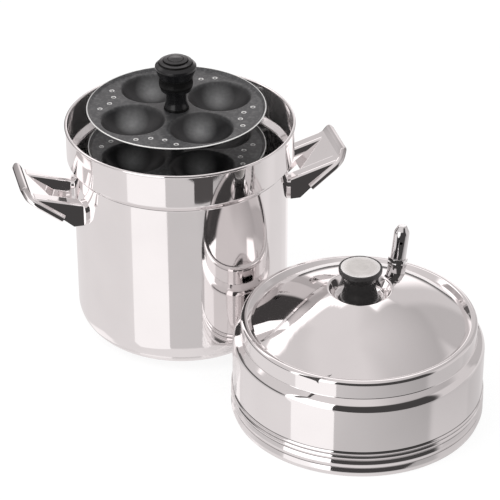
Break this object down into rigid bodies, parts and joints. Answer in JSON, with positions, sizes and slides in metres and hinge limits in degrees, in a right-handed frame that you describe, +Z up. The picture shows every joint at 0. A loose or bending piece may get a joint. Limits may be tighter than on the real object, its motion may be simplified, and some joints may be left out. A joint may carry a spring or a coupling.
{
  "type": "idli steamer",
  "caption": "Tall polished steel steaming pot with loop handles, a lift-out stack of round plates with shallow cups, and a domed lid with knob and steam whistle.",
  "frame": {"origin": "centre of the pot's flat base, on the surface that the pot and the lid stand on", "axes": "+Z up along the pot's axis, -Y towards the viewer of the picture, +X to the right; the lid lies towards +X and -Y"},
  "size_m": [0.5105, 0.4339, 0.3285],
  "materials": {
    "polished_steel": "mirror polished stainless steel",
    "plain_steel": "satin stainless steel",
    "chrome_trim": "bright chrome",
    "satin_steel_disc": "pale satin steel",
    "brass_insert": "plain brass",
    "gasket_rubber": "matte rubber",
    "black_bakelite": "glossy black moulding",
    "nonstick_coating": "charcoal non-stick coating, satin",
    "black_spacer": "satin black sleeve"
  },
  "bodies": {
    "pot": {"pot_shell": "polished_steel", "left_handle": "polished_steel", "left_handle_weld_pads": "polished_steel", "right_handle": "polished_steel", "right_handle_weld_pads": "polished_steel"},
    "rack_base": {"rack_rod": "plain_steel", "idli_plate_1": "nonstick_coating", "rack_legs": "plain_steel", "rack_leg_rivets": "plain_steel", "rack_washer": "plain_steel", "rack_nut": "plain_steel"},
    "tier_2": {"spacer_1": "black_spacer", "idli_plate_2": "nonstick_coating"},
    "tier_3": {"spacer_2": "black_spacer", "idli_plate_3": "nonstick_coating"},
    "tier_4": {"spacer_3": "black_spacer", "idli_plate_4": "nonstick_coating"},
    "tier_5": {"spacer_4": "black_spacer", "idli_plate_5": "nonstick_coating"},
    "tier_6": {"spacer_5": "black_spacer", "idli_plate_6": "nonstick_coating", "top_spacer": "black_bakelite"},
    "rack_knob": {"rack_knob": "black_bakelite", "rack_knob_insert": "brass_insert"},
    "lid": {"lid_shell": "polished_steel", "lid_seat_ring": "polished_steel", "lid_saucer": "polished_steel", "lid_knob": "black_bakelite", "lid_knob_disc": "satin_steel_disc", "lid_screw": "plain_steel", "lid_screw_washer": "plain_steel", "whistle_base": "chrome_trim", "whistle_gasket": "gasket_rubber", "whistle_nut": "plain_steel", "whistle_collar": "chrome_trim", "vent_pipe": "plain_steel"},
    "whistle": {"whistle_cap": "chrome_trim"}
  },
  "joints": [
    {"name": "lid_lift", "type": "slide", "parent": "pot", "child": "lid", "axis": [0.1547, -0.1389, 0.9781], "range_m": [0, 0.3]},
    {"name": "whistle_lift", "type": "slide", "parent": "lid", "child": "whistle", "axis": [0.1047, 0.1163, 0.9877], "range_m": [0, 0.03]},
    {"name": "rack_lift", "type": "slide", "parent": "pot", "child": "rack_base", "axis": [0, 0, 1], "range_m": [0, 0.3]},
    {"name": "plate_2_lift", "type": "slide", "parent": "rack_base", "child": "tier_2", "axis": [0, 0, 1], "range_m": [0, 0.23]},
    {"name": "plate_3_lift", "type": "slide", "parent": "tier_2", "child": "tier_3", "axis": [0, 0, 1], "range_m": [0, 0.183]},
    {"name": "plate_4_lift", "type": "slide", "parent": "tier_3", "child": "tier_4", "axis": [0, 0, 1], "range_m": [0, 0.136]},
    {"name": "plate_5_lift", "type": "slide", "parent": "tier_4", "child": "tier_5", "axis": [0, 0, 1], "range_m": [0, 0.09]},
    {"name": "plate_6_lift", "type": "slide", "parent": "tier_5", "child": "tier_6", "axis": [0, 0, 1], "range_m": [0, 0.043]},
    {"name": "rack_knob_turn", "type": "hinge", "parent": "tier_6", "child": "rack_knob", "pos_m": [-0.0036, 0, 0.305], "axis": [0, 0, 1], "range_deg": [0, 1080]}
  ]
}
